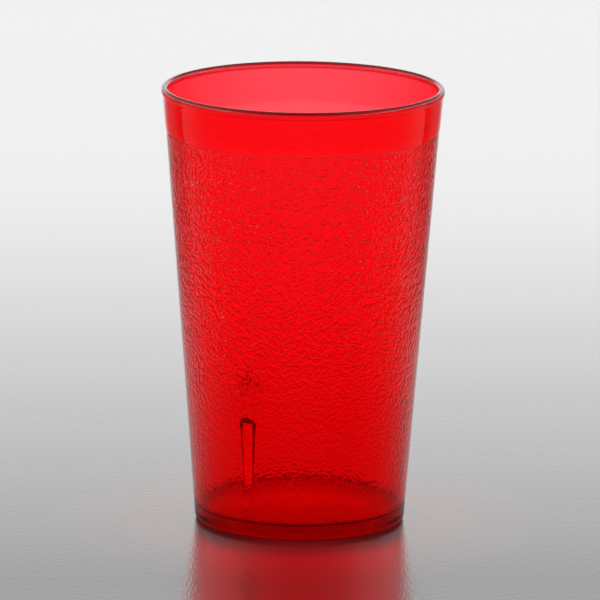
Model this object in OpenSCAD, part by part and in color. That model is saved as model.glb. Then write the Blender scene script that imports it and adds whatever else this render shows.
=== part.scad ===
// Pebbled drinks tumbler, moulded in one piece.
// Frame: +Z up, origin at the centre of the foot ring, on the table. Millimetres.

/* [Outside] */
// Diameter over the rim bead
rim_d = 84; // [76:0.5:100]
// Height from the table to the top of the rim
height = 131.2; // [110:0.2:160]
// Diameter of the wall carried down to the table, before its corner is rounded
base_d = 62.6; // [56:0.2:70]
// Radius of the outside corner at the table
base_corner_r = 1.6; // [0.8:0.1:2.4]

/* [Rim bead] */
// Width of the bead from its inner to its outer side
bead_w = 1.9; // [1.6:0.1:2.6]
// Height of the bead
bead_h = 1.9; // [1.7:0.1:3]
// How far the bead stands out past the wall under it
bead_lip = 0.4; // [0.3:0.05:0.7]
// Radius of the bead's lower outside edge
bead_edge_r = 0.25; // [0.1:0.05:0.28]

/* [Drinking band] */
// Height of the smooth band, from the top of the rim to the grained wall
band_h = 13; // [8:0.5:30]
// How far the smooth band stands out past the grained wall
band_step = 0.15; // [0.05:0.05:0.3]
// How far the band's top stands out past the grained wall carried straight up
band_flare = 0.2; // [0.15:0.05:0.6]

/* [Inside] */
// Height of the inside floor above the table
floor_z = 4.3; // [3:0.1:7]
// Thickness of the wall where it meets the floor
wall_base_t = 1.9; // [1.5:0.1:2.6]
// Radius between the inside floor and the wall
floor_corner_r = 1.2; // [0.6:0.1:3]

/* [Foot] */
// Width of the ring that stands on the table
foot_ring_w = 2.4; // [1.6:0.1:4]
// Depth of the recess in the underside
recess_depth = 0.9; // [0.4:0.1:1.4]

/* [Stacking lugs] */
// Number of lugs round the inside
lug_count = 3; // [3, 4, 6]
// Height of the top of a lug where it meets the wall
lug_top_z = 37.2; // [30:0.2:60]
// Width of a lug at its rounded top
lug_top_w = 4.1; // [3:0.1:6]
// Width of a lug at its lower end
lug_low_w = 2.3; // [1.4:0.1:2.9]
// How far a lug's face stands in from the wall at its widest
lug_depth = 2.1; // [1.4:0.1:2.6]
// Slope of a lug's top face, in degrees down towards the middle
lug_top_slope = 42; // [20:1:60]

/* [Hidden] */
$fn = 128;
ruby = [0.80, 0.03, 0.08];

// The grained wall leaves the table at base_r and opens by wall_k for each mm up
base_r = base_d / 2;
rim_r = rim_d / 2;
band_z = height - band_h;
bead_z = height - bead_h;
crown_z = height - bead_w / 2;
neck_r = rim_r - bead_lip;
wall_k = (neck_r - band_flare - base_r) / bead_z;
band_r = base_r + wall_k * band_z;

// Inside face: from the floor's corner up to the bead's inner side
mouth_r = rim_r - bead_w;
pit_r = base_r + wall_k * floor_z - wall_base_t;
pit_k = (mouth_r - pit_r) / (crown_z - floor_z);

// Foot ring, between the recess and the rounded corner
wall_a = atan(wall_k);
foot_r = base_r + wall_k * base_corner_r - base_corner_r / cos(wall_a);
recess_r = foot_r - foot_ring_w;
recess_draft = 0.4;

// Lugs: an upright face at lug_r that runs out where the wall comes in to meet it
lug_tip_z = lug_top_z - lug_depth * tan(lug_top_slope);
lug_r = pit_at(lug_tip_z) - lug_depth;
lug_end_z = floor_z + (lug_r - pit_r) / pit_k;
lug_root = 0.8;
lug_reach = 6;
lug_run_out = 2;
lug_shoulder = 12;

// Radius of the inside face at height z
function pit_at(z) = pit_r + pit_k * (z - floor_z);

// Radius in the middle of the wall, where the lugs are rooted
function root_at(z) = pit_at(z) + lug_root;

// Half of the cup's section, from the axis out
module cup_section() {
    polygon([
        [0, recess_depth],
        [recess_r - recess_draft, recess_depth],
        [recess_r, 0],
        [foot_r, 0],
        [foot_r + base_corner_r * cos(wall_a), base_corner_r * (1 - sin(wall_a))],
        [band_r, band_z],
        [band_r + band_step, band_z + band_step],
        [neck_r, bead_z],
        [rim_r - bead_edge_r, bead_z],
        [rim_r, bead_z + bead_edge_r],
        [rim_r, crown_z],
        [mouth_r, crown_z],
        [pit_r, floor_z],
        [0, floor_z]
    ]);
    translate([foot_r, base_corner_r]) circle(r = base_corner_r);
    translate([rim_r - bead_w / 2, crown_z]) circle(r = bead_w / 2);
    translate([rim_r - bead_edge_r, bead_z + bead_edge_r]) circle(r = bead_edge_r);
    floor_corner();
}

// Fillet between the inside floor and the wall
module floor_corner() {
    a = atan(pit_k);
    r = floor_corner_r;
    x = pit_r + pit_k * r - r / cos(a);
    difference() {
        polygon([
            [x, floor_z - 0.3],
            [pit_r + 0.3, floor_z - 0.3],
            [x + r * cos(a) + 0.3, floor_z + r * (1 - sin(a))],
            [x + r * cos(a), floor_z + r * (1 - sin(a))],
            [x, floor_z + r]
        ]);
        translate([x, floor_z + r]) circle(r = r);
    }
}

// Front view of a lug: rounded top, narrower below, y is height
module lug_front() {
    r1 = lug_top_w / 2;
    r2 = lug_low_w / 2;
    z1 = lug_top_z - r1;
    z2 = lug_end_z - lug_run_out;
    polygon([
        [r1 * cos(lug_shoulder), z1 - r1 * sin(lug_shoulder)],
        [-r1 * cos(lug_shoulder), z1 - r1 * sin(lug_shoulder)],
        [-r2, z2],
        [r2, z2]
    ]);
    translate([0, z1]) circle(r = r1);
}

// Section of the ring that the lugs are cut from
module lug_section() {
    low_z = lug_end_z - lug_run_out;
    high_z = lug_tip_z + (lug_depth + lug_root) * tan(lug_top_slope);
    polygon([
        [lug_r, low_z],
        [root_at(low_z), low_z],
        [root_at(high_z), high_z],
        [root_at(high_z) - 0.05, high_z],
        [lug_r, lug_tip_z]
    ]);
}

// Lugs that carry the next tumbler of a stack by its foot
module lugs() {
    for (i = [0 : lug_count - 1]) {
        rotate([0, 0, i * 360 / lug_count]) intersection() {
            rotate_extrude() lug_section();
            translate([lug_r - 1, 0, 0])
                rotate([90, 0, 90]) linear_extrude(height = lug_reach) lug_front();
        }
    }
}

// The whole moulding
module tumbler() {
    color(ruby) union() {
        rotate_extrude() cup_section();
        lugs();
    }
}

tumbler();
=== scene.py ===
"""Ruby drinks tumbler with a pebbled wall: its moulding, its finish and the studio round it.

Laid out as a Blender add-on, and run as a script.
"""
import math
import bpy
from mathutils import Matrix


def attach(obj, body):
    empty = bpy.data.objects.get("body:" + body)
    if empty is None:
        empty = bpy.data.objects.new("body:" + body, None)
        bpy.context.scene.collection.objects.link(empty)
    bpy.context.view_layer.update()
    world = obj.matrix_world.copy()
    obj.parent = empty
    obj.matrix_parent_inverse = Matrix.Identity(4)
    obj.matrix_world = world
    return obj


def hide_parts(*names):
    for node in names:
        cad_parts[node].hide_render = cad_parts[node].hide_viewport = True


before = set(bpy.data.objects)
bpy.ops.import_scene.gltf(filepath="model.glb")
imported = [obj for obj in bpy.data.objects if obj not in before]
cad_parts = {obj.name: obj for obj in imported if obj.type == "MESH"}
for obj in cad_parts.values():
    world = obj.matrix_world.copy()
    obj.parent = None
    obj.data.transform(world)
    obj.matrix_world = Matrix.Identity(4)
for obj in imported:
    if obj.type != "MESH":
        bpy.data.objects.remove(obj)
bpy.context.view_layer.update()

from types import SimpleNamespace

import bpy
import numpy as np
from mathutils import Quaternion, Vector

bl_info = {
    "name": "Pebbled tumbler",
    "version": (1, 0, 0),
    "blender": (4, 5, 0),
    "location": "View3D > Sidebar > Tumbler",
    "description": "Builds a moulded drinks tumbler with a pebbled wall and its studio",
    "category": "Mesh",
}

NODE = "tumbler"
MM = 0.001

# Columns round the grained wall, and round the rest
FINE, COARSE = 432, 216
# Height of one row of the grained wall
ROW = 0.68 * MM
# Edges sharper than this stay crisp, in degrees
CRISP_ANGLE = 40

# How much narrower the recess is at its top than at the foot ring, on each side
RECESS_DRAFT = 0.4 * MM
# Rows of the smooth band, by height above its step
BAND_ROWS = np.array([0.3, 0.6, 0.9, 1.2, 1.5, 3, 5, 7, 9, 9.6, 10.1, 10.5, 10.8, 11.05]) * MM
# Heights over which the band's wall eases out over its step and in under the bead
BAND_EASE, BEAD_EASE = 1.5 * MM, 1.4 * MM
# How far the wall has come out where it meets the bead
BEAD_EASE_OUT = 0.16 * MM
# Where the bead's underside starts: this far out from half-way to its edge, and this far under it
LIP_OUT, LIP_DOWN = 0.06 * MM, 0.02 * MM

# Stacking lugs round the inside
LUGS = 3
# Degrees below its middle at which a lug's round arch meets its straight sides
LUG_SHOULDER = 12
# How far a lug's outline is carried on below the end of its face
LUG_RUN_OUT = 2 * MM
# A lug's flanks run in over this far, and round over by this power
LUG_FLANK, LUG_ROUND = 0.1 * MM, 1.2
# Least half width that the columns at a lug keep
LUG_LEAST = 0.28 * MM
# Distance beside a lug to the first column of the plain wall
LUG_SIDE = 0.6 * MM
# Columns from there to the first that is in its even place
LUG_SPREAD = 5
# The columns start to bunch this far above the lugs, and do so over this height
LUG_LEAD, LUG_LEAD_EASE = 4 * MM, 3.5 * MM
# They are even again this far above the floor, and come to it over this height
FLOOR_LEAD, FLOOR_LEAD_EASE = 1 * MM, 3 * MM

# Heights over which the grain comes in at the foot and goes out at the band
GRAIN_IN, GRAIN_OUT = 1.5 * MM, 0.9 * MM
# Part of a pebble over which its edge rounds down
PEBBLE_EDGE = 0.4
# Waves that pull the pebbles out of shape: share of the height, radians in one pebble size along
# y, z and x, and phases
WARP_WAVES = (
    (1.0, (1.22, 0.94, 1.06), (0.4, 2.1, 4.4)),
    (0.5, (2.74, 3.22, 2.46), (1.7, 5.2, 3.1)),
)

# Half the side of the square table in metres, and its grid lines each way
TABLE_HALF, TABLE_LINES = 12.0, 9
# The table's surface lies this far under the foot, so that the two never fall in one plane
TABLE_GAP = 0.03 * MM
# Lamps: name, azimuth and elevation in degrees, distance, width and depth in metres, and power
LAMPS = (
    ("left_light", -90, 20, 1.2, 1.39, 0.75, "side_light"),
    ("right_light", 90, 20, 1.2, 1.39, 0.75, "side_light"),
    ("back_light", 180, 10.5, 4.0, 5.0, 0.9, "back_light"),
)
# Height above the table at which the lamps look
LAMP_AIM = 0.08


# ---------------------------------------------------------------- settings


def length(name, text, default_mm):
    """A size property, in metres."""
    return bpy.props.FloatProperty(
        name=name, description=text, default=default_mm * MM, subtype="DISTANCE", unit="LENGTH",
        precision=5, min=0.0,
    )


def number(name, text, default, low=0.0, high=1e6):
    """A plain number property."""
    return bpy.props.FloatProperty(
        name=name, description=text, default=default, min=low, max=high, precision=4
    )


def angle(name, text, degrees):
    """An angle property."""
    return bpy.props.FloatProperty(
        name=name, description=text, default=math.radians(degrees), subtype="ANGLE", unit="ROTATION"
    )


def colour(name, text, rgb):
    """A colour property."""
    return bpy.props.FloatVectorProperty(
        name=name, description=text, default=rgb, subtype="COLOR", size=3, min=0.0, max=1.0
    )


class TumblerShape(bpy.types.PropertyGroup):
    """Sizes of the moulding, as in the part's source."""

    rim_d: length("Rim diameter", "Diameter over the rim bead", 84.0)
    height: length("Height", "Height from the table to the top of the rim", 131.2)
    base_d: length("Base diameter", "Diameter of the wall carried down to the table", 62.6)
    base_corner_r: length("Base corner", "Radius of the outside corner at the table", 1.6)
    bead_w: length("Bead width", "Width of the rim bead", 1.9)
    bead_h: length("Bead height", "Height of the rim bead", 1.9)
    bead_lip: length("Bead lip", "How far the bead stands out past the wall", 0.4)
    bead_edge_r: length("Bead edge", "Radius of the bead's lower outside edge", 0.25)
    band_h: length("Band height", "Height of the smooth drinking band", 13.0)
    band_step: length("Band step", "How far the smooth band stands out past the grain", 0.15)
    band_flare: length("Band flare", "How far the band's top is out past the straight wall", 0.2)
    floor_z: length("Floor height", "Height of the inside floor above the table", 4.3)
    wall_base_t: length("Wall at the floor", "Thickness of the wall where it meets the floor", 1.9)
    floor_corner_r: length("Floor corner", "Radius between the inside floor and the wall", 1.2)
    foot_ring_w: length("Foot ring", "Width of the ring that stands on the table", 2.4)
    recess_depth: length("Recess", "Depth of the recess in the underside", 0.9)
    lug_top_z: length("Lug top", "Height of the top of a stacking lug", 37.2)
    lug_top_w: length("Lug width", "Width of a lug at its rounded top", 4.1)
    lug_low_w: length("Lug lower width", "Width of a lug at its lower end", 2.3)
    lug_depth: length("Lug depth", "How far a lug's face stands in from the wall", 2.1)
    lug_top_slope: angle("Lug top slope", "Slope of a lug's top face", 42.0)


class TumblerGrain(bpy.types.PropertyGroup):
    """The pebbled texture moulded into the outside of the wall."""

    cell: length("Pebble size", "Distance between neighbouring pebbles", 1.9)
    depth: length("Relief depth", "Depth of the valleys between pebbles, in the mesh", 0.06)
    crease: length("Crease depth", "Depth of the fine creases, in the finish", 0.095)
    crease_w: number(
        "Crease softness", "Part of the folds' swing that a crease takes up", 0.13, 0.01, 0.5
    )
    crease_size: number("Crease size", "Folds in one pebble size", 1.75, 0.1, 20.0)
    wrinkle: length("Wrinkle depth", "Depth of the finer wrinkles across the pebbles", 0.055)
    wrinkle_size: number("Wrinkle size", "Wrinkles in one pebble size", 2.3, 0.1, 20.0)
    low_share: number("Low share", "Share of the relief left at the foot", 0.3, 0.0, 1.0)
    full_height: length("Full height", "Height above which the relief has its full depth", 105.0)
    far_share: number(
        "Far share", "Share of the creases left on a wall seen through another", 0.25, 0.0, 1.0
    )
    warp: number("Warp", "How far the pebbles are pulled out of shape, in pebble sizes", 0.4)
    fade_low: length("Lower edge", "Height at which the grain starts above the table", 2.2)


class TumblerFinish(bpy.types.PropertyGroup):
    """The clear ruby plastic."""

    tint: colour("Tint", "Colour that the plastic lets through", (0.9888, 0.0, 0.12))
    strength: number("Tint strength", "How strongly a metre of plastic takes up the rest", 1790.0)
    surface: colour("Surface colour", "Colour at the surface", (1.0, 0.95, 0.95))
    ior: number("Refraction", "Index of refraction", 1.5, 1.0, 3.0)
    roughness: number("Roughness", "Roughness of the polished surface", 0.02, 0.0, 1.0)
    # Level of the painted glow that stands in for light lost inside the plastic
    painted_trapped_glow: number(
        "Trapped light", "Level of the light that goes round inside the plastic", 0.12, 0.0, 1.0
    )


class TumblerStudio(bpy.types.PropertyGroup):
    """Table, light and camera."""

    backdrop: number("Backdrop", "Brightness of the backdrop to the camera", 0.871, 0.0, 1.0)
    light: number("Room light", "Level at which the room lights dull things", 0.7, 0.0, 1.0)
    # This level also sets the painted glow far out on the table that the wall mirrors
    room: number("Room", "Level of the room in front and at the sides", 0.2, 0.0, 1.0)
    ceiling: number("Ceiling", "Share of the light that is left high up", 0.3, 0.0, 1.0)
    ceiling_low: number("Ceiling starts", "Degrees above the horizon at which it dims", 28.0)
    ceiling_high: number("Ceiling ends", "Degrees above the horizon at which it is dimmest", 50.0)
    table_rough: number("Table roughness", "Roughness of the satin table", 0.2, 0.0, 1.0)
    peel: length("Orange peel", "Height of the table's orange peel", 0.04)
    peel_scale: number("Orange peel scale", "Bumps of the orange peel in a metre", 1600.0)
    # Level of the painted light under the back of the foot
    shade: number("Under the foot", "Level under the back of the foot", 1.5, 0.0, 2.0)
    sides: number("Sides", "Level of the room's sides as the table mirrors them", 1.6)
    windows: number("Windows", "Level of the soft windows that the rim mirrors", 1.5)
    # Painted light: the table's mirror is made paler where it is seen through the plastic
    seen_through: number("Seen through", "How much paler the table is behind the plastic", 1.33)
    side_light: number("Side lights", "Power of each side light in watts", 1.5)
    back_light: number("Back light", "Power of the light behind the tumbler in watts", 4.2)
    camera_azimuth: angle("Camera azimuth", "Turn of the camera round the tumbler", -1.0)
    camera_elevation: angle("Camera elevation", "Camera's height above the horizon", 12.573)
    camera_roll: angle("Camera roll", "Roll of the camera", 0.512)
    camera_distance: length("Camera distance", "From the aim to the camera", 2000.0)
    aim: bpy.props.FloatVectorProperty(
        name="Camera aim", description="Point that the camera looks at", size=3,
        default=(-0.00038, 0.0, 0.06637), subtype="TRANSLATION", unit="LENGTH", precision=5,
    )
    lens: number("Focal length", "Focal length in millimetres on a 36 mm sensor", 402.1)


# ---------------------------------------------------------------- the moulding's numbers


def cup_numbers(s):
    """Radii, heights and slopes that follow from the sizes, by the same sums as in the source."""
    n = SimpleNamespace()
    n.base_r, n.rim_r = s.base_d / 2, s.rim_d / 2
    n.band_z, n.bead_z = s.height - s.band_h, s.height - s.bead_h
    n.crown_z = s.height - s.bead_w / 2
    n.neck_r = n.rim_r - s.bead_lip
    n.wall_k = (n.neck_r - s.band_flare - n.base_r) / n.bead_z
    n.band_r = n.base_r + n.wall_k * n.band_z
    n.mouth_r = n.rim_r - s.bead_w
    n.pit_r = n.base_r + n.wall_k * s.floor_z - s.wall_base_t
    n.pit_k = (n.mouth_r - n.pit_r) / (n.crown_z - s.floor_z)
    n.wall_a, n.pit_a = math.atan(n.wall_k), math.atan(n.pit_k)
    n.foot_r = n.base_r + n.wall_k * s.base_corner_r - s.base_corner_r / math.cos(n.wall_a)
    n.recess_r = n.foot_r - s.foot_ring_w
    n.recess_in_r = n.recess_r - RECESS_DRAFT
    n.pit_at = lambda z: n.pit_r + n.pit_k * (z - s.floor_z)
    n.lug_tip_z = s.lug_top_z - s.lug_depth * math.tan(s.lug_top_slope)
    n.lug_r = n.pit_at(n.lug_tip_z) - s.lug_depth
    n.lug_end_z = s.floor_z + (n.lug_r - n.pit_r) / n.pit_k
    n.lug_low_z = n.lug_end_z - LUG_RUN_OUT
    n.lug_arch_r = s.lug_top_w / 2
    n.lug_arch_z = s.lug_top_z - n.lug_arch_r
    n.lug_shoulder_z = n.lug_arch_z - n.lug_arch_r * math.sin(math.radians(LUG_SHOULDER))
    n.corner_x = n.pit_r + n.pit_k * s.floor_corner_r - s.floor_corner_r / math.cos(n.pit_a)
    return n


def arc(cx, cz, r, start, stop, count):
    """Points on a circle of radius r round (cx, cz), as (radius, height) rows.

    The angles are in degrees from straight out.
    """
    a = np.radians(np.linspace(start, stop, count))
    return np.column_stack([cx + r * np.cos(a), cz + r * np.sin(a)])


def line(r0, z0, r1, z1, count, first=False):
    """Evenly spaced points along a straight line, without its first unless asked."""
    t = np.linspace(0, 1, count + 1)[0 if first else 1:]
    return np.column_stack([r0 + (r1 - r0) * t, z0 + (z1 - z0) * t])


# ---------------------------------------------------------------- pebble pattern


def rolled(x, k):
    """32-bit words rolled left by k bits."""
    return (x << np.uint32(k)) | (x >> np.uint32(32 - k))


def pebble_edges(p):
    """Distance from each point to the nearest wall between Voronoi cells of size 1.

    Seeds lie one in each unit cube, moved by a hash of its corner. The nearest seed is found among
    the 27 round the point, and then the least distance to the middle planes between it and others.
    """
    corner = np.floor(p)
    local = p - corner
    steps = np.stack(np.meshgrid(*[[-1, 0, 1]] * 3, indexing="ij"), -1).reshape(-1, 3)
    cells = corner[:, None] + steps[None]
    seeds = steps[None] + np.stack([hash01(cells), hash01(cells, 1.0), hash01(cells, 2.0)], -1)
    gap = seeds - local[:, None]
    near = np.argmin((gap**2).sum(-1), axis=1)
    home = gap[np.arange(len(p)), near]
    away = gap - home[:, None]
    span = np.linalg.norm(away, axis=-1)
    span[np.arange(len(p)), near] = np.inf
    edge = ((home[:, None] + gap) / 2 * away).sum(-1) / np.maximum(span, 1e-9)
    edge[np.arange(len(p)), near] = np.inf
    return edge.min(axis=1)


def hash01(corner, salt=None):
    """A hash of a corner's three numbers, and of a fourth if given, as a number from 0 to 1."""
    # Adding zero turns a negative zero into a plain one
    words = np.ascontiguousarray(corner.astype(np.float32) + np.float32(0.0)).view(np.uint32)
    count = 3 if salt is None else 4
    start = np.uint32((0xDEADBEEF + (count << 2) + 13) & 0xFFFFFFFF)
    a, b, c = (words[..., i] + start for i in range(3))
    if salt is not None:
        for k in (4, 6, 8, 16, 19, 4):
            a, b, c = b, c + b, (a - c) ^ rolled(c, k)
        a = a + np.float32(salt).view(np.uint32)
    for k in (14, 11, 25, 16, 4, 14, 24):
        a, b, c = b, (c ^ b) - rolled(b, k), a
    return b.astype(np.float64) / 0xFFFFFFFF


def warped(p, amount):
    """Each point moved along x, y and z by sine waves of its y, z and x, the second one weaker."""
    out = p.copy()
    for share, rate, phase in WARP_WAVES:
        out += amount * share * np.sin(p[:, (1, 2, 0)] * rate + phase)
    return out


def soft_rise(x):
    """0 below 0, 1 above 1, and an even S between."""
    t = np.clip(x, 0, 1)
    return t * t * (3 - 2 * t)


# ---------------------------------------------------------------- mesh


def grid_faces(rings, closed_low, closed_high):
    """Faces between following rings of vertex numbers.

    Two rings of one length are joined by quads, and one of half the other's length by three
    triangles for each of its own steps. A pole is joined by a fan.
    """
    quads, tris = [], []
    for a, b in zip(rings, rings[1:]):
        if len(a) == len(b):
            quads.append(np.column_stack([a, np.roll(a, -1), np.roll(b, -1), b]))
        elif len(a) * 2 == len(b):
            a1, b0, b1, b2 = np.roll(a, -1), b[::2], b[1::2], np.roll(b[::2], -1)
            tris += [np.column_stack(t) for t in ((a, b1, b0), (a, a1, b1), (a1, b2, b1))]
        else:
            a0, a1, a2, b1 = a[::2], a[1::2], np.roll(a[::2], -1), np.roll(b, -1)
            tris += [np.column_stack(t) for t in ((a0, a1, b), (a1, b1, b), (a1, a2, b1))]
    low, high = rings[0], rings[-1]
    tris.append(np.column_stack([np.full(len(low), closed_low), np.roll(low, -1), low]))
    tris.append(np.column_stack([high, np.roll(high, -1), np.full(len(high), closed_high)]))
    return np.vstack(quads), np.vstack(tris)


def lug_half_width(n, s, z):
    """Half a lug's width at height z: a round arch on sides that narrow downwards."""
    top = n.lug_shoulder_z
    share = (z - n.lug_low_z) / (top - n.lug_low_z)
    widest = n.lug_arch_r * math.cos(math.radians(LUG_SHOULDER))
    side = s.lug_low_w / 2 + share * (widest - s.lug_low_w / 2)
    arch = np.sqrt(np.maximum(n.lug_arch_r**2 - (z - n.lug_arch_z) ** 2, 0))
    return np.maximum(np.where(z > top, arch, side), LUG_LEAST)


def inside_rings(n, s):
    """Inside wall as an array of rows by columns by xyz, from the rim down to the floor's corner.

    Away from the lugs a point is at the wall's radius. At a lug the columns bunch up to follow its
    outline, and each point moves straight in from the wall by the lug's depth times one less the
    rounded-off share of the flank that is still ahead of it. The depth is up to an upright face,
    and above the tip up to a face that slopes back to the wall.
    """
    lead_z = s.lug_top_z + LUG_LEAD
    corner_z = s.floor_z + s.floor_corner_r * (1 - math.sin(n.pit_a))
    rows = np.concatenate([
        np.linspace(n.crown_z, lead_z, 9)[1:],
        np.linspace(lead_z, s.lug_top_z, 5)[1:],
        n.lug_arch_z + n.lug_arch_r * np.sin(np.radians(np.linspace(82, -LUG_SHOULDER, 17))),
        np.linspace(n.lug_shoulder_z, n.lug_end_z, 20)[1:],
        np.linspace(n.lug_end_z, corner_z, 5)[1:],
    ])
    wall = n.pit_at(rows)
    step = 2 * math.pi / COARSE
    apart = 2 * math.pi / LUGS
    k = np.arange(COARSE) * step
    # Columns from the nearest lug's middle, to either side
    each = COARSE // LUGS
    offset = (np.arange(COARSE) + each // 2) % each - each // 2
    lug = np.round((k - offset * step) / apart) * apart
    mag = np.abs(offset)

    half = lug_half_width(n, s, rows)[:, None]
    even = wall[:, None] * np.sin(mag * step)[None]
    # Places of the bunched columns: face, flank, foot, then back to even
    run = np.minimum(LUG_FLANK, half * 0.8)
    places = [(half - run) * j / 2 for j in range(3)]
    places += [half - run * (1 - j) for j in (0.2, 0.45, 0.7, 0.9)]
    places += [half, half + LUG_SIDE]
    bunched = even.copy()
    for j, place in enumerate(places):
        bunched[:, mag == j] = place
    far = len(places) - 1
    end = far + LUG_SPREAD
    reach = even[:, np.argmax(mag == end)][:, None]
    for j in range(far + 1, end):
        bunched[:, mag == j] = places[-1] + (reach - places[-1]) * (j - far) / LUG_SPREAD
    near_lug = soft_rise((lead_z - rows) / LUG_LEAD_EASE) * soft_rise(
        (rows - s.floor_z - FLOOR_LEAD) / FLOOR_LEAD_EASE
    )
    side = even + (bunched - even) * near_lug[:, None]
    side = np.where(mag[None] < end, side, even)

    # Way in from the lug's outline: round its arch at the top, and straight across below
    above = np.maximum(rows - n.lug_arch_z, 0)[:, None]
    way = np.where(above > 0, n.lug_arch_r - np.hypot(side, above), half - side)
    way = np.where(mag[None] < far - 1, np.clip(way / LUG_FLANK, 0, 1), 0)
    face = n.lug_r + np.maximum(rows - n.lug_tip_z, 0) / math.tan(s.lug_top_slope)
    depth = np.maximum(wall - face, 0)[:, None]
    inward = depth * (1 - (1 - way) ** LUG_ROUND)
    x = np.sqrt(np.maximum(wall[:, None] ** 2 - side**2, 0))
    inner = np.sqrt(np.maximum((wall[:, None] - inward) ** 2 - side**2, 0))
    x = np.where(inward > 0, inner, x)
    far_side = mag >= end
    y = side * np.sign(offset)[None]
    cx, sx = np.cos(lug)[None], np.sin(lug)[None]
    px, py = x * cx - y * sx, x * sx + y * cx
    px = np.where(far_side[None], wall[:, None] * np.cos(k)[None], px)
    py = np.where(far_side[None], wall[:, None] * np.sin(k)[None], py)
    return np.stack([px, py, np.broadcast_to(rows[:, None], px.shape)], -1)


def turned_rings(profile, columns):
    """A profile of (radius, height) rows turned round the axis: rows by columns by xyz."""
    a = np.arange(columns) * (2 * math.pi / columns)
    r, z = profile[:, :1], profile[:, 1:]
    return np.stack([r * np.cos(a), r * np.sin(a), np.broadcast_to(z, (len(r), columns))], -1)


def tumbler_surface(s, g):
    """The closed moulding: points, quads, triangles, and how much grain each point has.

    One profile runs from the middle of the underside out, up the outside, over the bead, down the
    inside and in to the middle of the floor. On the grained wall each point moves in by the relief
    depth times one less the rounded height of its pebble.
    """
    n = cup_numbers(s)
    deg = math.degrees
    low = np.vstack([
        line(0, s.recess_depth, n.recess_in_r, s.recess_depth, 4),
        [[n.recess_r, 0.0]],
        line(n.recess_r, 0, n.foot_r, 0, 2),
        arc(n.foot_r, s.base_corner_r, s.base_corner_r, -90, -deg(n.wall_a), 9)[1:-1],
    ])
    corner = arc(n.foot_r, s.base_corner_r, s.base_corner_r, -deg(n.wall_a), -deg(n.wall_a), 1)
    rows = int(round((n.band_z - corner[0, 1]) / ROW))
    wall = line(corner[0, 0], corner[0, 1], n.band_r, n.band_z, rows, first=True)
    edge, bead = s.bead_edge_r, s.bead_w / 2
    # The band's wall swells out over its step, and again into the underside of the bead
    heights = n.band_z + BAND_ROWS
    straight = n.band_r + s.band_step + (n.neck_r - n.band_r - s.band_step) * (
        (heights - n.band_z) / (n.bead_z - n.band_z)
    )
    swell = s.band_step * (1 - soft_rise((heights - n.band_z) / BAND_EASE))
    under = BEAD_EASE_OUT * np.clip((heights - n.bead_z + BEAD_EASE) / BEAD_EASE, 0, 1) ** 3
    band = np.column_stack([straight - swell + under, heights])
    lip_r = (band[-1, 0] + n.rim_r - edge) / 2
    rim = np.vstack([
        band,
        [[lip_r + LIP_OUT, n.bead_z - LIP_DOWN]],
        arc(n.rim_r - edge, n.bead_z + edge, edge, -75, 0, 5),
        arc(n.rim_r - bead, n.crown_z, bead, 0, 180, 17)[1:],
    ])
    inside = inside_rings(n, s)
    r = s.floor_corner_r
    floor = np.vstack([
        arc(n.corner_x, s.floor_z + r, r, -deg(n.pit_a), -90, 8)[1:],
        line(n.corner_x, s.floor_z, 0, s.floor_z, 4)[:-1],
    ])

    parts = [
        turned_rings(low, COARSE), turned_rings(wall, FINE), turned_rings(rim, COARSE), inside,
        turned_rings(floor, COARSE),
    ]
    outer = parts[1]
    z = wall[:, 1]
    fade = soft_rise((z - g.fade_low) / GRAIN_IN) * soft_rise((n.band_z - z) / GRAIN_OUT)
    fade = fade * (g.low_share + (1 - g.low_share) * soft_rise(z / g.full_height))
    grain = np.broadcast_to(fade[:, None], outer.shape[:2])
    edges = pebble_edges(warped(outer.reshape(-1, 3) / g.cell, g.warp)).reshape(len(wall), FINE)
    sink = g.depth * grain * (1 - soft_rise(edges / PEBBLE_EDGE))
    radius = np.linalg.norm(outer[..., :2], axis=-1)
    outer[..., :2] *= (1 - sink * math.cos(n.wall_a) / radius)[..., None]
    outer[..., 2] += sink * math.sin(n.wall_a)

    rings, points, weight, count = [], [], [], 0
    for part, shade in zip(parts, (None, grain, None, None, None)):
        for ring in part:
            rings.append(np.arange(len(ring)) + count)
            count += len(ring)
        points.append(part.reshape(-1, 3))
        weight.append(np.zeros(part.shape[0] * part.shape[1]) if shade is None else shade.ravel())
    points.append(np.array([[0, 0, s.recess_depth], [0, 0, s.floor_z]]))
    weight.append(np.zeros(2))
    quads, tris = grid_faces(rings, count, count + 1)
    return np.vstack(points), quads, tris, np.concatenate(weight)


def make_piece(name, points, quads, tris, material):
    """A smooth mesh object at the origin, with its sharp edges kept crisp."""
    mesh = bpy.data.meshes.new(name)
    mesh.from_pydata(points.tolist(), [], quads.tolist() + tris.tolist())
    mesh.polygons.foreach_set("use_smooth", np.ones(len(mesh.polygons), bool))
    mesh.materials.append(material)
    mesh.update()
    if mesh.validate():
        raise RuntimeError(f"{name} had faces that aren't valid")
    mesh.set_sharp_from_angle(angle=math.radians(CRISP_ANGLE))
    piece = bpy.data.objects.new(name, mesh)
    bpy.context.scene.collection.objects.link(piece)
    return piece


# ---------------------------------------------------------------- materials


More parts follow.
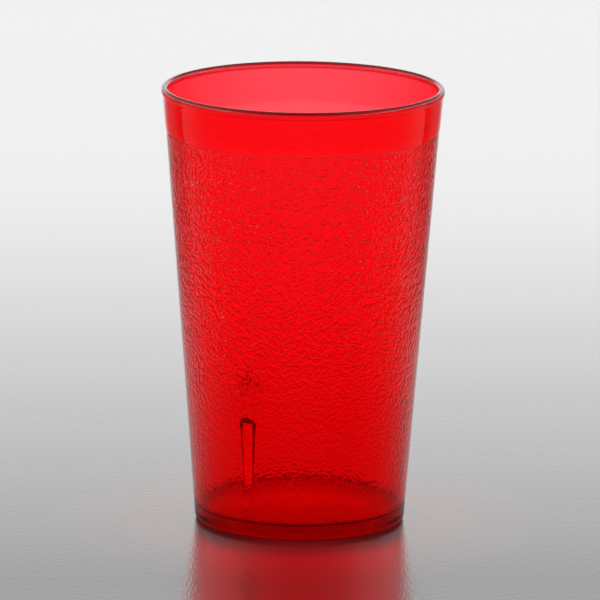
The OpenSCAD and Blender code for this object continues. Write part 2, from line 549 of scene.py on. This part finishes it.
class Nodes:
    """Short calls for building one node tree."""

    def __init__(self, tree):
        self.tree = tree
        tree.nodes.clear()

    def add(self, kind, inputs=(), **settings):
        node = self.tree.nodes.new(kind)
        for key, value in settings.items():
            setattr(node, key, value)
        for key, value in dict(inputs).items():
            socket = node.inputs[key]
            if isinstance(value, bpy.types.NodeSocket):
                self.tree.links.new(value, socket)
            else:
                socket.default_value = value
        return node

    def math(self, operation, a, b=None, c=None, clamp=False):
        values = {i: v for i, v in enumerate((a, b, c)) if v is not None}
        return self.add("ShaderNodeMath", values, operation=operation, use_clamp=clamp).outputs[0]

    def vector(self, operation, a, b=None, c=None):
        values = {i: v for i, v in enumerate((a, b, c)) if v is not None}
        return self.add("ShaderNodeVectorMath", values, operation=operation).outputs[0]

    def ramp(self, value, low, high, to_low=0.0, to_high=1.0, kind="SMOOTHSTEP"):
        return self.add(
            "ShaderNodeMapRange",
            {
                "Value": value, "From Min": low, "From Max": high,
                "To Min": to_low, "To Max": to_high,
            },
            interpolation_type=kind,
        ).outputs[0]

    def noise(self, place, scale, detail=0.0, roughness=0.5):
        return self.add(
            "ShaderNodeTexNoise",
            {"Vector": place, "Scale": scale, "Detail": detail, "Roughness": roughness},
        ).outputs["Fac"]

    def mix(self, factor, a, b):
        return self.add("ShaderNodeMix", {0: factor, 2: a, 3: b}, data_type="FLOAT").outputs[0]

    def curve(self, value, stops, kind="LINEAR"):
        """A grey level read from (value, level) stops."""
        first, last = stops[0][0], stops[-1][0]
        node = self.add("ShaderNodeValToRGB", {0: self.ramp(value, first, last, kind="LINEAR")})
        node.color_ramp.interpolation = kind
        elements = node.color_ramp.elements
        while len(elements) < len(stops):
            elements.new(0.5)
        for e, (place, _) in zip(elements, stops):
            e.position = (place - first) / (last - first)
        for e, (_, level) in zip(elements, stops):
            e.color = (level, level, level, 1)
        return node.outputs[0]


# Share of blue to red in the painted glow that stands in for the trapped light
TRAPPED_BLUE = 0.02


def ruby_plastic(f, g):
    """Clear red plastic: glass that takes up light inside, with creases on its grain."""
    material = bpy.data.materials.new("ruby_plastic_grained")
    material.use_nodes = True
    t = Nodes(material.node_tree)
    place = t.add("ShaderNodeTexCoord").outputs["Object"]
    p = t.vector("SCALE", place)
    p.node.inputs["Scale"].default_value = 1 / g.cell
    # The same waves as in the mesh
    x, y, z = t.add("ShaderNodeSeparateXYZ", {0: p}).outputs
    turn = t.add("ShaderNodeCombineXYZ", {0: y, 1: z, 2: x}).outputs[0]
    bent = p
    for share, rate, phase in WARP_WAVES:
        wave = t.vector("SINE", t.vector("MULTIPLY_ADD", turn, rate, phase))
        bent = t.vector("MULTIPLY_ADD", wave, (g.warp * share,) * 3, bent)
    folds = t.noise(bent, g.crease_size)
    crease = t.ramp(folds, 0.5 - g.crease_w, 0.5 + g.crease_w)
    fine = t.noise(bent, g.wrinkle_size, 1.0, 0.55)
    # The wrinkles' noise keeps to about the middle half of its range
    height = t.math(
        "ADD", t.math("MULTIPLY", crease, g.crease), t.math("MULTIPLY", fine, g.wrinkle * 2)
    )
    grain = t.add("ShaderNodeAttribute", attribute_name="grain").outputs["Fac"]
    # The far wall's grain shows softly through the near one
    ray = t.add("ShaderNodeLightPath").outputs
    share = t.ramp(ray["Ray Depth"], 0.0, 1.0, 1.0, g.far_share, "LINEAR")
    grain = t.math("MULTIPLY", grain, share)
    height = t.math("MULTIPLY", height, grain)
    bump = t.add("ShaderNodeBump", {"Strength": 1.0, "Distance": 1.0, "Height": height})
    # A painted dark red glow stands in for light that is still going round inside after four
    # mirrorings
    painted_trapped_glow = t.ramp(ray["Glossy Depth"], 3.0, 4.0, 0.0, f.painted_trapped_glow, "LINEAR")
    blue = t.math("MULTIPLY", painted_trapped_glow, TRAPPED_BLUE)
    painted_trapped_glow = t.add("ShaderNodeCombineColor", {0: painted_trapped_glow, 1: 0.0, 2: blue}).outputs[0]
    shader = t.add(
        "ShaderNodeBsdfPrincipled",
        {
            "Emission Color": painted_trapped_glow,
            "Emission Strength": 1.0,
            "Base Color": (*f.surface, 1.0),
            "Roughness": f.roughness,
            "IOR": f.ior,
            "Transmission Weight": 1.0,
            "Normal": bump.outputs["Normal"],
        },
    )
    inside = t.add(
        "ShaderNodeVolumeAbsorption", {"Color": (*f.tint, 1.0), "Density": f.strength}
    ).outputs[0]
    t.add("ShaderNodeOutputMaterial", {"Surface": shader.outputs[0], "Volume": inside})
    return material


# Painted brightness of the table's mirror, darker towards the front in place of the light's
# falloff, by distance behind the tumbler in metres
TABLE_STOPS = (
    (-1.2, 0.80), (-0.5, 0.60), (-0.096, 0.385), (-0.040, 0.455), (0.082, 0.553), (0.219, 0.651),
    (0.376, 0.782), (0.52, 0.838), (1.2, 0.800),
)
# Painted reflection: the glow that the wall mirrors off the table, by bearing from straight behind
# in degrees: near, and far off
GLOW_NEAR = (
    (0, 0.60), (20, 0.60), (28, 0.45), (36, 0.40), (55, 0.38), (62, 0.31), (74, 0.23), (83, 0.17),
    (91, 0.12), (106, 0.06), (120, 0.03), (140, 0.004), (180, 0.004),
)
GLOW_FAR = (
    (0, 0.60), (18, 0.60), (26, 0.22), (34, 0.13), (46, 0.12), (55, 0.05), (61.5, 0.01), (63, 0.30),
    (74, 0.25), (83, 0.15), (91, 0.09), (106, 0.05), (125, 0.02), (145, 0.01), (180, 0.01),
)

# Painted light and shade under the foot as a share of its level, by distance behind the axis
FOOT_SHADE = (
    (-0.03, 0.30), (-0.016, 0.31), (-0.001, 0.37), (0.0086, 0.73), (0.0185, 1.0), (0.04, 1.0),
)
# Painted red light, an emission for the camera only in place of what the plastic casts on the
# table, by distance from the axis in metres
CAST = (
    (0, 0.05), (0.029, 0.05), (0.0325, 0.08), (0.037, 0.13), (0.042, 0.155), (0.049, 0.13),
    (0.058, 0.08), (0.08, 0),
)
# Its colour, and the bearings between which it grows from this share to full
CAST_COLOUR = (1, 0, 0.01, 1)
CAST_BEARING, CAST_SHARE = (135.0, 172.0), 0.3
# Distances from the axis over which the painted foot shade ends, the near painted glow gives way to
# the far one, and the room's painted glow level comes in
FOOT_EDGE, GLOW_TURN, ROOM_TURN = (0.029, 0.034), (0.2, 0.36), (0.3, 0.9)
# How grey the table is besides its mirror, and its roughness where it is seen through the plastic
TABLE_GREY, ROUGH_THROUGH = 0.006, 0.04
# Bumps of the orange peel along y, as a share of those along x
PEEL_STRETCH = 0.3


def table_material(st):
    """Pale satin table: a soft mirror whose painted colour dims evenly towards the front in place
    of the light's falloff, with a fine orange peel.

    What the tumbler's wall mirrors of the table is a painted reflection: a glow that hangs on the
    bearing round the tumbler, pale behind it, a painted strip for the side lights, and next to
    nothing in front.
    """
    material = bpy.data.materials.new("studio_table")
    material.use_nodes = True
    t = Nodes(material.node_tree)
    place = t.add("ShaderNodeTexCoord").outputs["Object"]
    parts = t.add("ShaderNodeSeparateXYZ", {0: place}).outputs
    ray = t.add("ShaderNodeLightPath").outputs
    # Painted light: the table's mirror is paler for rays that come through the plastic
    through = t.math("MULTIPLY_ADD", ray["Is Transmission Ray"], st.seen_through - 1, 1.0)
    level = t.math("MULTIPLY", t.curve(parts[1], TABLE_STOPS, "B_SPLINE"), through)
    level = t.math("MINIMUM", level, 1.0)
    # Under the foot the table's mirror is painted paler at the back and in painted shade at the
    # front, for rays through the plastic
    away = t.add("ShaderNodeVectorMath", {0: place}, operation="LENGTH").outputs["Value"]
    under = t.math("MULTIPLY", t.ramp(away, *FOOT_EDGE, 1.0, 0.0), ray["Is Transmission Ray"])
    shade = t.math("MULTIPLY", t.curve(parts[1], FOOT_SHADE), st.shade)
    level = t.math("MINIMUM", t.mix(under, level, t.math("MULTIPLY", level, shade)), 1.0)
    mirror_colour = t.add("ShaderNodeCombineColor", {0: level, 1: level, 2: level}).outputs[0]

    scale = st.peel_scale
    peel = t.noise(t.vector("MULTIPLY", place, (scale, scale * PEEL_STRETCH, scale)), 1.0)
    peel = t.math("MULTIPLY", peel, t.math("SUBTRACT", 1.0, ray["Is Transmission Ray"]))
    bump = t.add("ShaderNodeBump", {"Distance": st.peel, "Height": peel}).outputs["Normal"]
    rough = t.mix(ray["Is Transmission Ray"], st.table_rough, ROUGH_THROUGH)
    mirror = t.add(
        "ShaderNodeBsdfGlossy", {"Color": mirror_colour, "Roughness": rough, "Normal": bump}
    )
    base = t.add("ShaderNodeBsdfDiffuse", {"Color": (*[TABLE_GREY] * 3, 1)})
    surface = t.add("ShaderNodeAddShader", {0: mirror.outputs[0], 1: base.outputs[0]}).outputs[0]

    bearing = t.math("DEGREES", t.math("ABSOLUTE", t.math("ARCTAN2", parts[0], parts[1])))
    # Painted red light round the foot, an emission that only the camera sees
    cast = t.math("MULTIPLY", t.curve(away, CAST), t.ramp(bearing, *CAST_BEARING, CAST_SHARE, 1.0))
    cast = t.math("MULTIPLY", cast, ray["Is Camera Ray"])
    cast = t.add("ShaderNodeEmission", {"Color": CAST_COLOUR, "Strength": cast})
    surface = t.add("ShaderNodeAddShader", {0: surface, 1: cast.outputs[0]}).outputs[0]
    # Painted reflection: rays that the wall mirrors down meet this glow in place of the table
    glow = t.mix(
        t.ramp(away, *GLOW_TURN), t.curve(bearing, GLOW_NEAR), t.curve(bearing, GLOW_FAR)
    )
    glow = t.math("MAXIMUM", glow, t.ramp(away, *ROOM_TURN, 0.0, st.room))
    glow = t.add("ShaderNodeEmission", {"Strength": glow})
    mirrored = t.math("SUBTRACT", ray["Is Glossy Ray"], ray["Is Transmission Ray"], clamp=True)
    surface = t.add("ShaderNodeMixShader", {0: mirrored, 1: surface, 2: glow.outputs[0]}).outputs[0]
    t.add("ShaderNodeOutputMaterial", {"Surface": surface})
    return material


# Backdrop as the plastic shows it by way of the table: its light against degrees above the horizon
BACKDROP_RISE = (
    (0, 1.0), (8, 1.0), (11, 0.92), (13, 0.81), (15, 0.70), (18, 0.56), (22, 0.42), (28, 0.30),
    (90, 0.25),
)

# The same round the tumbler, as a share of the sides' level, against degrees from straight behind
ROOM_ROUND = (
    (0, 0.625), (38, 0.625), (52, 0.9), (75, 1.0), (100, 0.9), (120, 0.6), (140, 0.3),
    (160, 0.14), (180, 0.1),
)
# Bearings over which the room dims: as the plastic mirrors it, as the table mirrors it behind the
# plastic, and as it shows straight through the plastic, there down to this level
FRONT_DIM, EDGE_DIM, THROUGH_DIM, THROUGH_LEAST = (40.0, 70.0), (34.0, 60.0), (58.0, 80.0), 0.1
# Degrees above the horizon over which it dims straight through the plastic, and its level below
THROUGH_RISE, THROUGH_LEVEL = (16.0, 34.0), 0.78
# Bearings and heights at which the soft windows come in and go out
WINDOW_BEARING, WINDOW_RISE = ((7.0, 10.0), (44.0, 50.0)), ((22.0, 25.0), (42.0, 48.0))


def studio_world(st):
    """A room that is pale behind the tumbler, dimmer in front and darker high up.

    The camera sees the plain backdrop, and lighting meets one plain level.
    """
    world = bpy.data.worlds.new("studio_room")
    bpy.context.scene.world = world
    world.use_nodes = True
    t = Nodes(world.node_tree)
    ray = t.add("ShaderNodeLightPath").outputs
    way = t.add("ShaderNodeTexCoord").outputs["Generated"]
    parts = t.add("ShaderNodeSeparateXYZ", {0: way}).outputs
    rise = t.math("DEGREES", t.math("ARCSINE", parts[2]))
    bearing = t.math("DEGREES", t.math("ABSOLUTE", t.math("ARCTAN2", parts[0], parts[1])))
    ceiling = t.ramp(rise, st.ceiling_low, st.ceiling_high, 1.0, st.ceiling)
    front = t.ramp(bearing, *FRONT_DIM, 1.0, st.room)
    again = t.math("GREATER_THAN", ray["Ray Depth"], 1.5)
    inside = t.math("GREATER_THAN", ray["Transmission Depth"], 0.5)
    edge = t.ramp(bearing, *EDGE_DIM, 1.0, st.room / 2)
    around = t.mix(inside, t.math("MULTIPLY", t.curve(bearing, ROOM_ROUND), st.sides), edge)
    around = t.math("MULTIPLY", around, t.curve(rise, BACKDROP_RISE))
    mirrored = t.mix(again, t.math("MULTIPLY", ceiling, front), around)
    through = t.math(
        "MULTIPLY",
        t.ramp(rise, *THROUGH_RISE, THROUGH_LEVEL, st.ceiling),
        t.ramp(bearing, *THROUGH_DIM, 1.0, THROUGH_LEAST),
    )
    # Two soft windows behind, which show in the rim
    (near, far), (low, high) = WINDOW_BEARING, WINDOW_RISE
    window = t.math("MULTIPLY", t.ramp(bearing, *near), t.ramp(bearing, *far, 1.0, 0.0))
    window = t.math("MULTIPLY", window, t.ramp(rise, *low))
    window = t.math("MULTIPLY", window, t.ramp(rise, *high, st.windows, 0.0))
    mirrored = t.math("ADD", mirrored, t.mix(again, window, 0.0))
    level = t.mix(ray["Is Glossy Ray"], st.light, mirrored)
    level = t.mix(ray["Is Transmission Ray"], level, through)
    level = t.mix(ray["Is Camera Ray"], level, st.backdrop)
    back = t.add("ShaderNodeBackground", {"Color": (1, 1, 1, 1), "Strength": level})
    t.add("ShaderNodeOutputWorld", {"Surface": back.outputs[0]})


def aimed(back, roll=0.0):
    """Turn of a camera or lamp that looks along -back, rolled about its own axis."""
    return (-back).to_track_quat("-Z", "Y") @ Quaternion((0, 0, 1), roll)


def direction(azimuth, elevation):
    """Unit vector from the tumbler; azimuth 0 is in front, towards -Y, and grows to the right."""
    flat = math.cos(elevation)
    return Vector((math.sin(azimuth) * flat, -math.cos(azimuth) * flat, math.sin(elevation)))


def soft_lamp(name, azimuth, elevation, distance, width, depth, watts):
    """A soft rectangular lamp that looks at the tumbler, and doesn't show itself to the camera."""
    lamp = bpy.data.lights.new(name, "AREA")
    lamp.shape, lamp.size, lamp.size_y, lamp.energy = "RECTANGLE", width, depth, watts
    back = direction(math.radians(azimuth), math.radians(elevation))
    holder = bpy.data.objects.new(name, lamp)
    holder.location = Vector((0, 0, LAMP_AIM)) + back * distance
    holder.rotation_mode = "QUATERNION"
    holder.rotation_quaternion = aimed(back)
    holder.visible_camera = False
    bpy.context.scene.collection.objects.link(holder)


# ---------------------------------------------------------------- operators


class TUMBLER_OT_moulding(bpy.types.Operator):
    """Build the tumbler as one closed grained moulding of clear ruby plastic"""

    bl_idname = "tumbler.moulding"
    bl_label = "Moulding"
    bl_options = {"REGISTER", "UNDO"}

    def execute(self, context):
        scene = context.scene
        shape, grain, finish = scene.tumbler_shape, scene.tumbler_grain, scene.tumbler_finish
        points, quads, tris, weight = tumbler_surface(shape, grain)
        piece = make_piece("ruby_tumbler", points, quads, tris, ruby_plastic(finish, grain))
        piece.data.attributes.new("grain", "FLOAT", "POINT").data.foreach_set(
            "value", weight.astype(np.float32)
        )
        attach(piece, "root")
        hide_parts(NODE)
        return {"FINISHED"}


class TUMBLER_OT_studio(bpy.types.Operator):
    """Set the pale table, the soft light and the camera"""

    bl_idname = "tumbler.studio"
    bl_label = "Studio"
    bl_options = {"REGISTER", "UNDO"}

    def execute(self, context):
        scene = context.scene
        st = scene.tumbler_studio
        side = np.linspace(-TABLE_HALF, TABLE_HALF, TABLE_LINES)
        x, y = np.meshgrid(side, side, indexing="ij")
        ids = np.arange(x.size).reshape(x.shape)
        quads = np.stack([ids[:-1, :-1], ids[1:, :-1], ids[1:, 1:], ids[:-1, 1:]], -1)
        quads = quads.reshape(-1, 4)
        points = np.stack([x.ravel(), y.ravel(), np.full(x.size, -TABLE_GAP)], -1)
        table = make_piece("studio_table", points, quads, np.zeros((0, 3), int), table_material(st))
        studio_world(st)
        for *lamp, power in LAMPS:
            soft_lamp(*lamp, getattr(st, power))

        camera = bpy.data.cameras.new("photo_camera")
        camera.lens, camera.sensor_width = st.lens, 36.0
        camera.clip_start, camera.clip_end = 0.05, 100.0
        holder = bpy.data.objects.new("photo_camera", camera)
        back = direction(st.camera_azimuth, st.camera_elevation)
        holder.location = Vector(st.aim) + back * st.camera_distance
        holder.rotation_mode = "QUATERNION"
        holder.rotation_quaternion = aimed(back, st.camera_roll)
        scene.collection.objects.link(holder)
        scene.camera = holder
        scene.view_settings.view_transform = "Standard"
        return {"FINISHED"}


class TUMBLER_PT_sidebar(bpy.types.Panel):
    """Lists the steps and their settings"""

    bl_idname = "TUMBLER_PT_sidebar"
    bl_label = "Pebbled tumbler"
    bl_space_type = "VIEW_3D"
    bl_region_type = "UI"
    bl_category = "Tumbler"

    def draw(self, context):
        for step in (TUMBLER_OT_moulding, TUMBLER_OT_studio):
            self.layout.operator(step.bl_idname)
        for key in SETTINGS:
            box = self.layout.box()
            group = getattr(context.scene, key)
            for name in group.__annotations__:
                box.prop(group, name)


SETTINGS = {
    "tumbler_shape": TumblerShape,
    "tumbler_grain": TumblerGrain,
    "tumbler_finish": TumblerFinish,
    "tumbler_studio": TumblerStudio,
}
CLASSES = (*SETTINGS.values(), TUMBLER_OT_moulding, TUMBLER_OT_studio, TUMBLER_PT_sidebar)


def register():
    for cls in CLASSES:
        bpy.utils.register_class(cls)
    for key, group in SETTINGS.items():
        setattr(bpy.types.Scene, key, bpy.props.PointerProperty(type=group))


def unregister():
    for key in SETTINGS:
        delattr(bpy.types.Scene, key)
    for cls in reversed(CLASSES):
        bpy.utils.unregister_class(cls)


def main():
    """Registers the classes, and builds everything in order."""
    register()
    bpy.ops.tumbler.moulding()
    bpy.ops.tumbler.studio()


if __name__ == "__main__":
    main()
